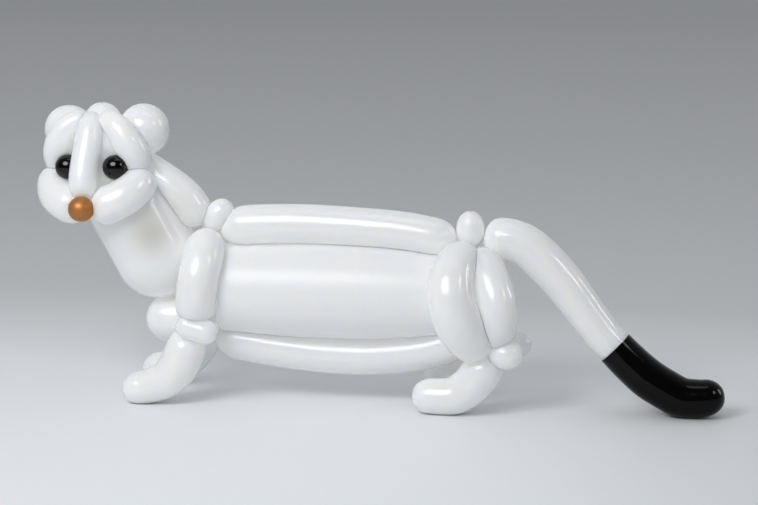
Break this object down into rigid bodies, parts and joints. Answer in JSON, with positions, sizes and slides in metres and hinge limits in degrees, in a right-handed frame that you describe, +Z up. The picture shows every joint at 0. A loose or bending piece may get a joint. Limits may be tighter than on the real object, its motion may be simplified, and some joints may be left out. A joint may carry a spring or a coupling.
{
  "type": "twisted-balloon ermine sculpture",
  "caption": "Standing ermine twisted from long modelling balloons, with round cheeks and ears, a fat chest and barrel, four paws and a long tail with a dark sleeved tip.",
  "frame": {"origin": "on the ground under the middle of the whole figure's box", "axes": "+Z up; the animal faces -X and its tail runs to +X; its left side is on -Y"},
  "size_m": [0.8305, 0.197, 0.3579],
  "materials": {
    "white_latex": "glossy, slightly translucent white balloon latex",
    "black_latex": "glossy opaque black balloon latex",
    "copper_latex": "pearlescent copper-brown balloon latex"
  },
  "bodies": {
    "root": {"barrel": "white_latex", "belly": "white_latex", "back": "white_latex", "hip_knob": "white_latex", "shoulder_knob": "white_latex", "neck": "white_latex", "chest": "white_latex", "breast": "white_latex", "nose_bridge": "white_latex", "crown": "white_latex", "nose": "copper_latex", "forehead_left": "white_latex", "forehead_right": "white_latex", "cheek_left": "white_latex", "cheek_right": "white_latex", "ear_left": "white_latex", "ear_right": "white_latex", "eye_left": "black_latex", "eye_right": "black_latex", "tail": "white_latex", "tail_sleeve": "black_latex", "upper_foreleg_left": "white_latex", "elbow_left": "white_latex", "forepaw_left": "white_latex", "thigh_front_left": "white_latex", "thigh_back_left": "white_latex", "ankle_left": "white_latex", "hindpaw_left": "white_latex", "upper_foreleg_right": "white_latex", "elbow_right": "white_latex", "forepaw_right": "white_latex", "thigh_front_right": "white_latex", "thigh_back_right": "white_latex", "ankle_right": "white_latex", "hindpaw_right": "white_latex"}
  },
  "joints": []
}
